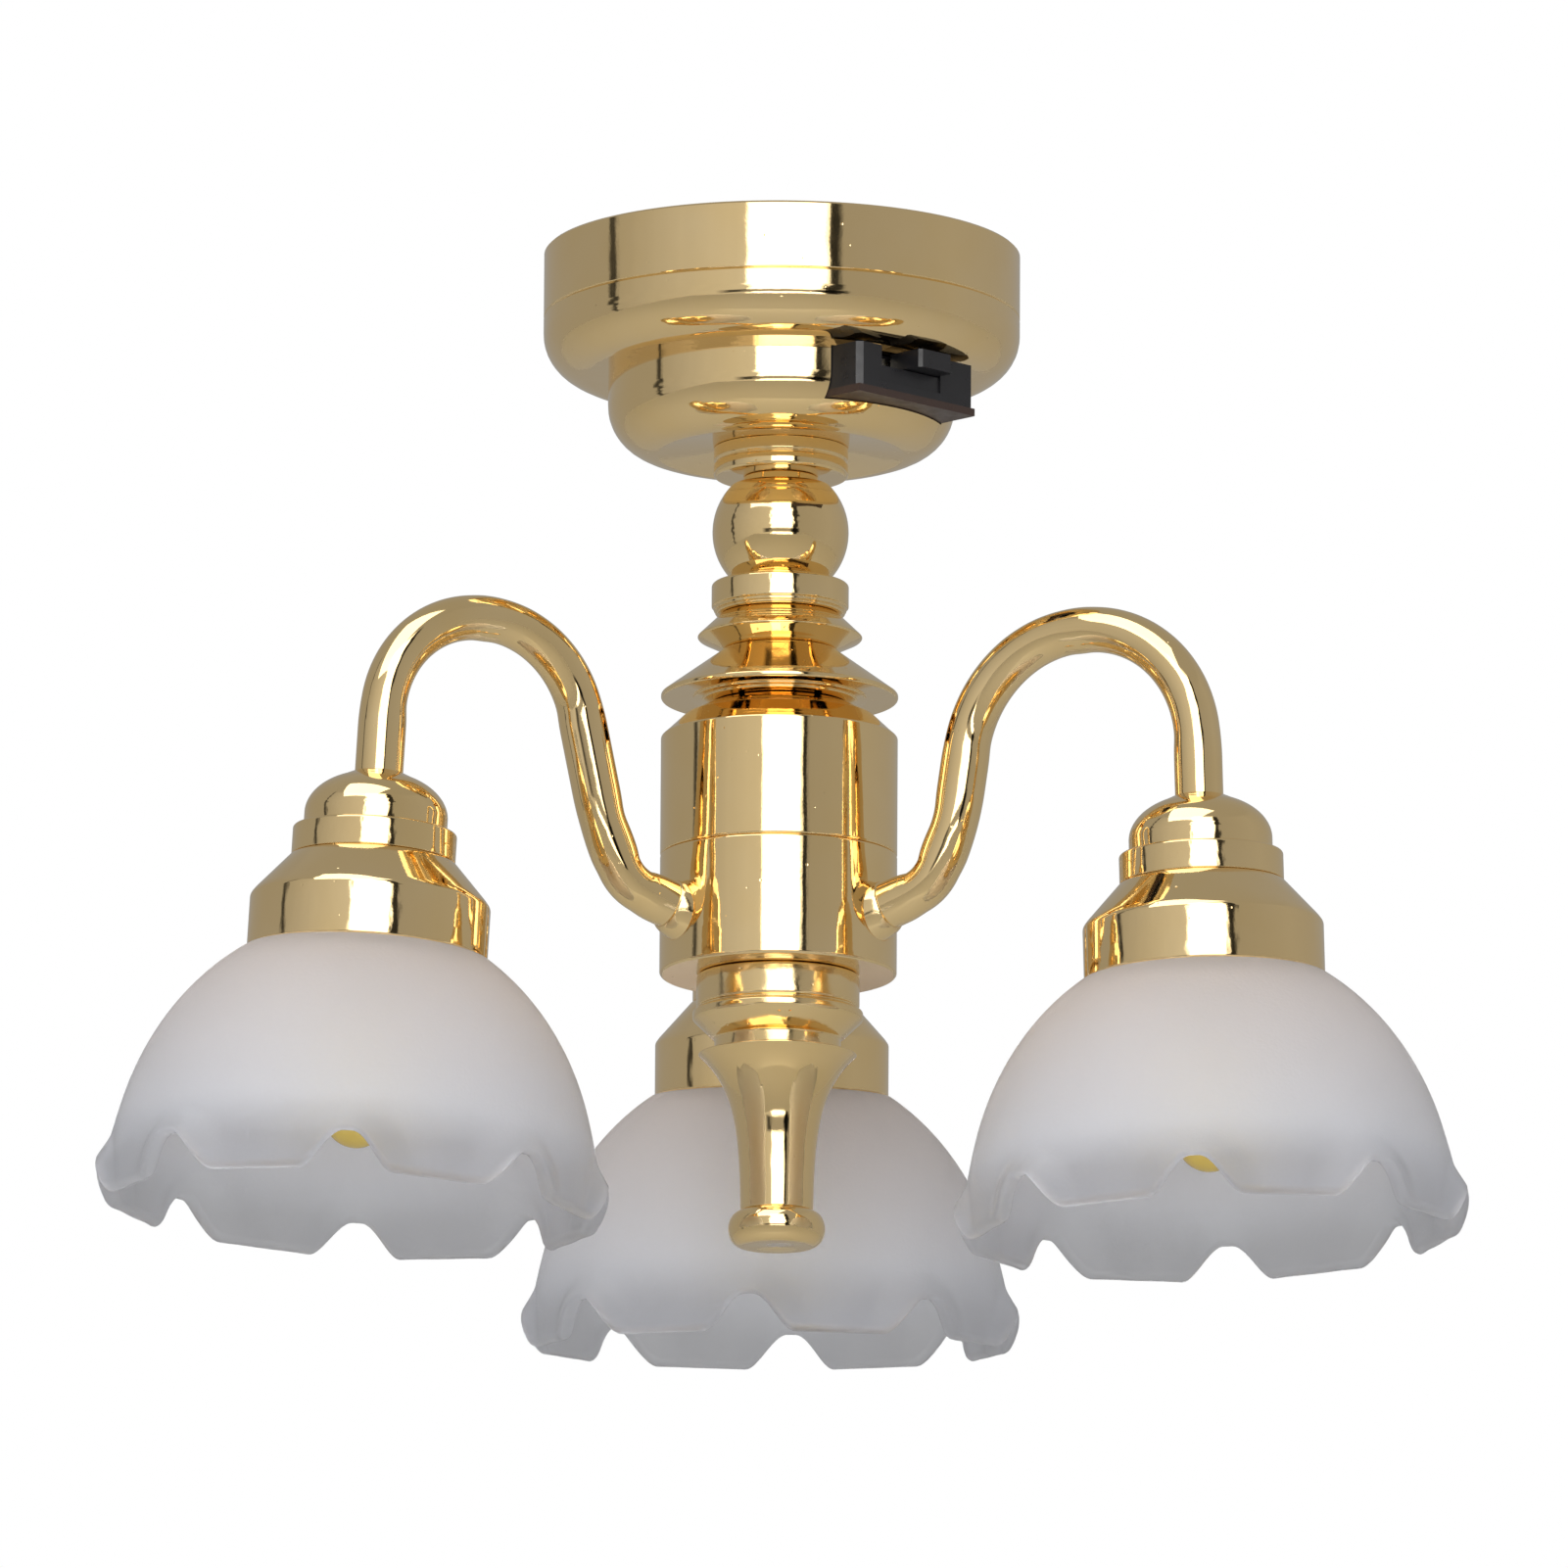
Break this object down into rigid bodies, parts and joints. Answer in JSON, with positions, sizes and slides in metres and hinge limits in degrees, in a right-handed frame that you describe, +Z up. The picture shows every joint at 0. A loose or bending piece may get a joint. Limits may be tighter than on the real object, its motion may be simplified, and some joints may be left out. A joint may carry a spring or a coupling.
{
  "type": "miniature chandelier",
  "caption": "Battery ceiling light for a dolls' house: gooseneck arms on a turned stem carry frosted ruffled glass shades; the canopy pulls off its ceiling cap to reach the coin cell.",
  "frame": {"origin": "centre of the face of the adhesive pad that sticks to the ceiling", "axes": "+Z up, out of the ceiling face; the light hangs below Z = 0; the rear arm points along +Y, the slide switch faces +X and -Y"},
  "size_m": [0.0631, 0.0585, 0.0491],
  "materials": {
    "foam_pad": "closed-cell foam, double-sided adhesive",
    "gold_plating": "polished, thin gold plating over turned brass",
    "raw_brass": "unplated, machined",
    "cell_steel": "pressed stainless steel",
    "tray_plastic": "moulded",
    "contact_metal": "nickel-plated strip",
    "switch_black": "moulded, slightly glossy",
    "switch_brown": "phenolic board",
    "board_green": "solder mask on glass-fibre board",
    "frosted_glass": "frosted outside and inside, tumbled rim",
    "led_epoxy": "clear epoxy over yellow phosphor, unlit",
    "sleeve_black": "shrink sleeve",
    "wire_enamel": "insulated hook-up wire"
  },
  "bodies": {
    "ceiling_mount": {"adhesive_pad": "foam_pad", "ceiling_cap": "gold_plating"},
    "lamp": {"canopy_body": "gold_plating", "stem_collar": "gold_plating", "ball_knop": "gold_plating", "ring_collar": "gold_plating", "small_saucer": "gold_plating", "large_saucer": "gold_plating", "upper_barrel": "gold_plating", "hub": "gold_plating", "finial_neck": "gold_plating", "finial": "gold_plating", "finial_tip": "gold_plating", "battery_tray": "tray_plastic", "contact_minus": "contact_metal", "contact_plus": "contact_metal", "switch_case": "switch_black", "switch_base": "switch_brown", "switch_wiper": "contact_metal", "switch_pins": "contact_metal", "circuit_board": "board_green", "stem_tube": "raw_brass", "upper_nut": "raw_brass", "lower_nut": "raw_brass", "finial_stud": "raw_brass", "arm_left": "gold_plating", "arm_ferrule_left": "gold_plating", "domed_cap_left": "gold_plating", "shade_cup_left": "gold_plating", "shade_left": "frosted_glass", "led_left": "led_epoxy", "led_sleeve_left": "sleeve_black", "arm_wires_left": "wire_enamel", "arm_right": "gold_plating", "arm_ferrule_right": "gold_plating", "domed_cap_right": "gold_plating", "shade_cup_right": "gold_plating", "shade_right": "frosted_glass", "led_right": "led_epoxy", "led_sleeve_right": "sleeve_black", "arm_wires_right": "wire_enamel", "arm_rear": "gold_plating", "arm_ferrule_rear": "gold_plating", "domed_cap_rear": "gold_plating", "shade_cup_rear": "gold_plating", "shade_rear": "frosted_glass", "led_rear": "led_epoxy", "led_sleeve_rear": "sleeve_black", "arm_wires_rear": "wire_enamel", "wire_splice": "sleeve_black", "stem_wires": "wire_enamel"},
    "coin_cell": {"coin_cell": "cell_steel"},
    "switch_knob": {"switch_knob": "switch_black"}
  },
  "joints": [
    {"name": "lamp_pull_off", "type": "slide", "parent": "ceiling_mount", "child": "lamp", "axis": [0, 0, -1], "range_m": [0, 0.012]},
    {"name": "cell_lift", "type": "slide", "parent": "lamp", "child": "coin_cell", "axis": [0, 0, 1], "range_m": [0, 0.004]},
    {"name": "switch_slide", "type": "slide", "parent": "lamp", "child": "switch_knob", "axis": [-0.7096, -0.7046, 0], "range_m": [0, 0.0016]}
  ],
  "couplings": [
    {"joint": "cell_lift", "follows": "lamp_pull_off", "ratio": 0.3333}
  ]
}
